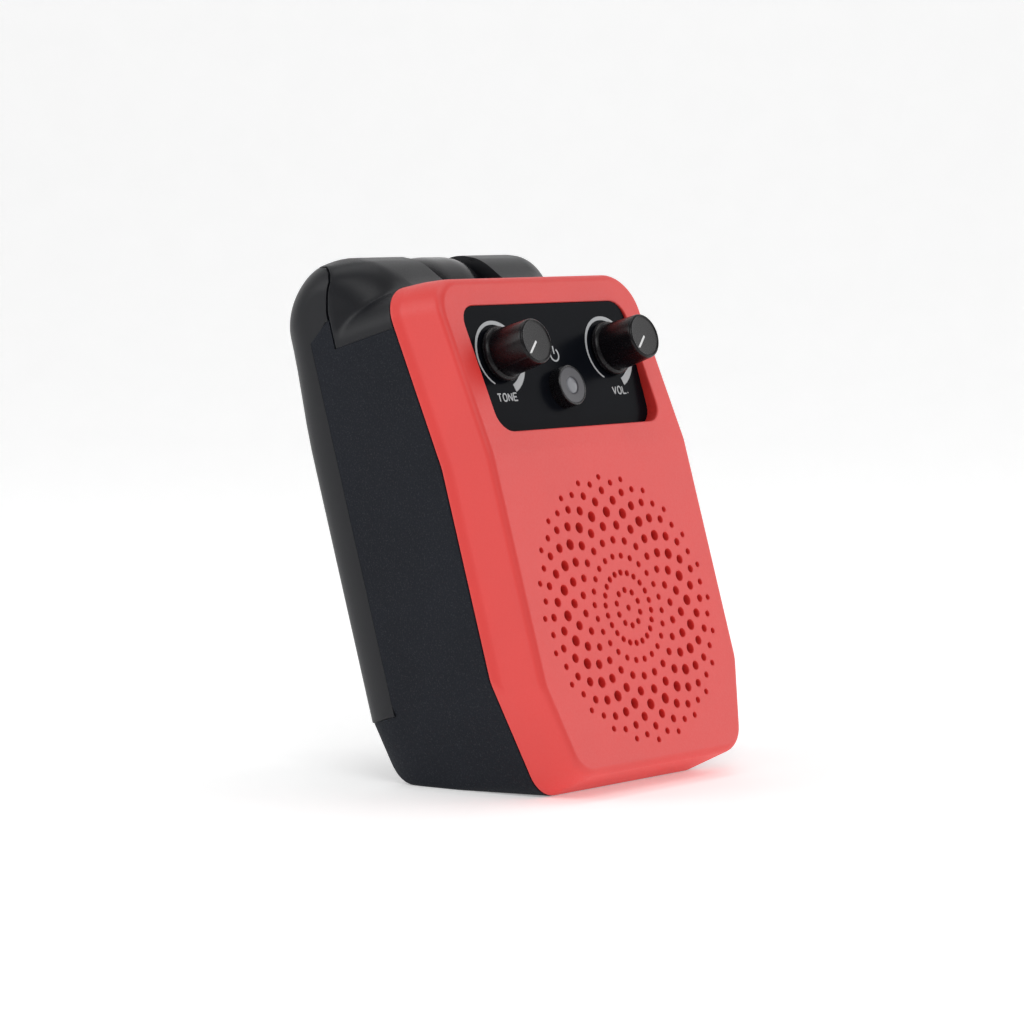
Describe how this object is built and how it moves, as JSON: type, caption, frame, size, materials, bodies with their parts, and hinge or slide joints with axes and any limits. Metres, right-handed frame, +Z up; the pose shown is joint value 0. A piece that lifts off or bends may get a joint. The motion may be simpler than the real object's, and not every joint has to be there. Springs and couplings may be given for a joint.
{
  "type": "mini guitar amplifier",
  "caption": "Pocket guitar practice amplifier that leans back on its base, with a perforated red cover, control plate, round knobs, push button and sprung belt clip.",
  "frame": {"origin": "centre of the bounding box's footprint, on the surface that the base rests on", "axes": "+Z up, +X to the listener's right when facing the front, -Y towards the listener, out of the front; the front face leans back 16.5 degrees"},
  "size_m": [0.0976, 0.1122, 0.1532],
  "materials": {
    "red_case": "satin moulded",
    "textured_case": "fine sparkled texture",
    "satin_case": "smooth satin",
    "plate_gloss": "glossy",
    "knob_black": "glossy skirt, matte cap",
    "white_mark": "plain",
    "button_black": "satin",
    "button_grey": "satin",
    "button_lens": "translucent grey",
    "plated_metal": "nickel plated",
    "steel_frame": "black coated",
    "spring_steel": "bright",
    "screw_black": "blackened",
    "ferrite": "sintered",
    "winding": "copper wire",
    "board": "solder mask",
    "inner_black": "plain",
    "inner_plastic": "plain",
    "cable": "plain",
    "foam": "closed cell",
    "surround": "smooth",
    "cone_paper": "pressed pulp",
    "spider_cloth": "woven and stiffened",
    "terminal": "fibre board",
    "cell_wrap": "shrink wrap"
  },
  "bodies": {
    "body": {"front_cover": "red_case", "control_plate": "plate_gloss", "rear_housing": "textured_case", "top_bridge": "satin_case", "rear_cover": "satin_case", "tone_pot": "plated_metal", "volume_pot": "plated_metal", "pot_nuts": "plated_metal", "pot_washers": "plated_metal", "power_switch": "plated_metal", "control_board": "board", "main_board": "board", "board_parts": "inner_black", "ribbon_cable": "cable", "speaker_gasket": "foam", "speaker_frame": "steel_frame", "speaker_surround": "surround", "speaker_cone": "cone_paper", "speaker_dust_cap": "cone_paper", "speaker_voice_coil": "winding", "speaker_spider": "spider_cloth", "speaker_magnet": "ferrite", "speaker_plates": "plated_metal", "speaker_terminals": "terminal", "speaker_screws": "plated_metal", "speaker_leads": "cable", "battery_cell": "cell_wrap", "battery_holder": "inner_black", "battery_contacts": "plated_metal", "input_jack": "inner_black", "jack_nut": "plated_metal", "phones_jack": "inner_black", "usb_socket": "plated_metal", "hinge_pin": "plated_metal", "clip_spring": "spring_steel", "front_screws": "plated_metal", "rear_screws": "screw_black"},
    "tone_control": {"tone_knob": "knob_black", "tone_pointer": "white_mark", "tone_shaft": "plated_metal"},
    "volume_control": {"volume_knob": "knob_black", "volume_pointer": "white_mark", "volume_shaft": "plated_metal"},
    "button": {"power_button": "button_black", "button_cap": "button_grey", "button_lens": "button_lens", "switch_plunger": "inner_plastic"},
    "clip": {"belt_clip": "satin_case"}
  },
  "joints": [
    {"name": "tone_turn", "type": "hinge", "parent": "body", "child": "tone_control", "pos_m": [-0.0259, -0.01525, 0.12537], "axis": [0, 0.9505, -0.3107], "range_deg": [0, 264]},
    {"name": "volume_turn", "type": "hinge", "parent": "body", "child": "volume_control", "pos_m": [0.0259, -0.01525, 0.12537], "axis": [0, 0.9505, -0.3107], "range_deg": [0, 264]},
    {"name": "button_press", "type": "slide", "parent": "body", "child": "button", "axis": [0, 0.9505, -0.3107], "range_m": [0, 0.0012], "stiffness_N_per_m": 900, "springref_m": -0.0004},
    {"name": "clip_open", "type": "hinge", "parent": "body", "child": "clip", "pos_m": [0, 0.03103, 0.13416], "axis": [1, 0, 0], "range_deg": [0, 25], "stiffness_Nm_per_rad": 0.5, "springref_deg": -11.46}
  ]
}
